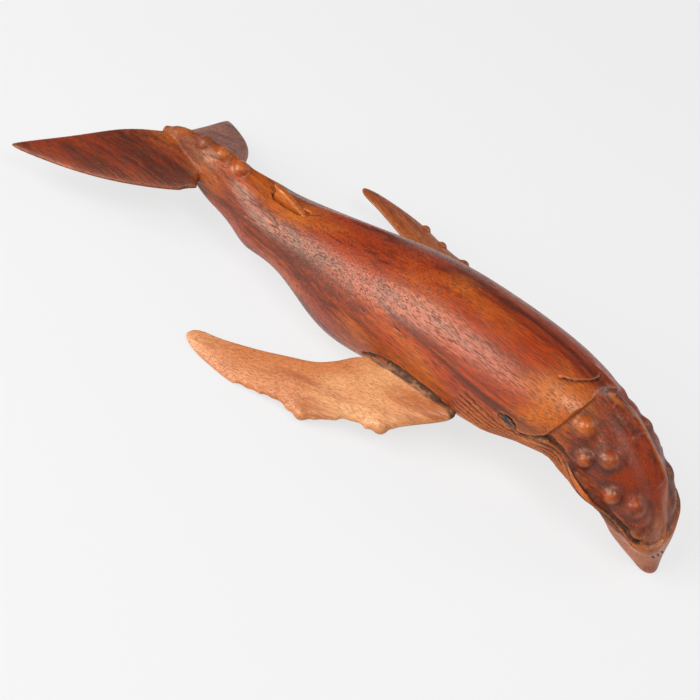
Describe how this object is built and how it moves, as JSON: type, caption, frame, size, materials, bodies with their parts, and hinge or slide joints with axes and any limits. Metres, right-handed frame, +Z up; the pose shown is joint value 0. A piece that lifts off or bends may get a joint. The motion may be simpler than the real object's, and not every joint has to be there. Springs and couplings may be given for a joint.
{
  "type": "whale figurine",
  "caption": "Carved wooden humpback whale lying on its chin and belly, with long pegged side fins, a small dorsal fin, raised snout knobs and spread flukes.",
  "frame": {"origin": "on the flat under the belly, 4 mm in front of its middle, in the whale's middle plane, on the table the whale lies on", "axes": "+X from the tail to the nose, +Y to the whale's left, +Z up"},
  "size_m": [0.4841, 0.2033, 0.0994],
  "materials": {
    "body_wood": "polished, open-pored red-brown hardwood",
    "fin_wood": "polished, open-pored red-brown hardwood",
    "peg_wood": "plain turned dowel",
    "eye_bead": "polished black"
  },
  "bodies": {
    "root": {"body": "body_wood", "dorsal_fin": "body_wood", "right_pectoral_fin": "fin_wood", "left_pectoral_fin": "fin_wood", "right_fin_peg_front": "peg_wood", "right_fin_peg_rear": "peg_wood", "left_fin_peg_front": "peg_wood", "left_fin_peg_rear": "peg_wood", "right_eye": "eye_bead", "left_eye": "eye_bead"}
  },
  "joints": []
}
